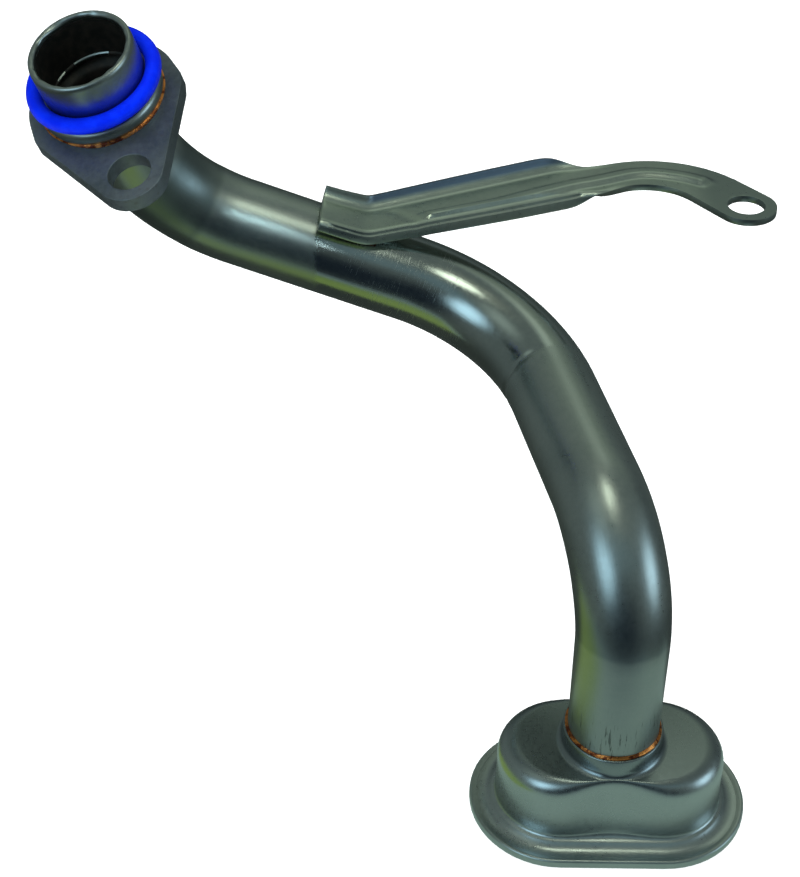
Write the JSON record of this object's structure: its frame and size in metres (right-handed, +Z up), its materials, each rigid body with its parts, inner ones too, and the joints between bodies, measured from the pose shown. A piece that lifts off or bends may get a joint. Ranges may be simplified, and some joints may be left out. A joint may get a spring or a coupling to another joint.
{
  "type": "oil pickup tube",
  "caption": "Engine oil pickup tube: bent steel tube with an O-ring spigot and bolt flange at the pump end, a stamped support bracket and an obround strainer.",
  "frame": {"origin": "centre of the strainer's flat bottom face, on the bar between its two inlet windows", "axes": "-Z out of the strainer's bottom face, +Z up along the lower leg of the tube, X along the strainer's length towards the bracket's eye end, Y towards the back of the engine side seen from the pump spigot"},
  "size_m": [0.1567, 0.1177, 0.1518],
  "materials": {
    "tube_steel": "semi-polished, oily",
    "flange_steel": "matt stamped steel",
    "bracket_steel": "stamped sheet, satin",
    "strainer_steel": "deep-drawn sheet, satin",
    "screen_wire": "bright woven wire",
    "blue_seal": "satin blue elastomer",
    "copper_braze": "copper furnace braze"
  },
  "bodies": {
    "root": {"pickup_tube": "tube_steel", "mounting_flange": "flange_steel", "o_ring_seal": "blue_seal", "flange_braze": "copper_braze", "support_bracket": "bracket_steel", "bracket_braze_far": "copper_braze", "bracket_braze_near": "copper_braze", "strainer_housing": "strainer_steel", "collar_braze": "copper_braze", "bottom_cover": "strainer_steel", "wire_screen": "screen_wire"}
  },
  "joints": []
}
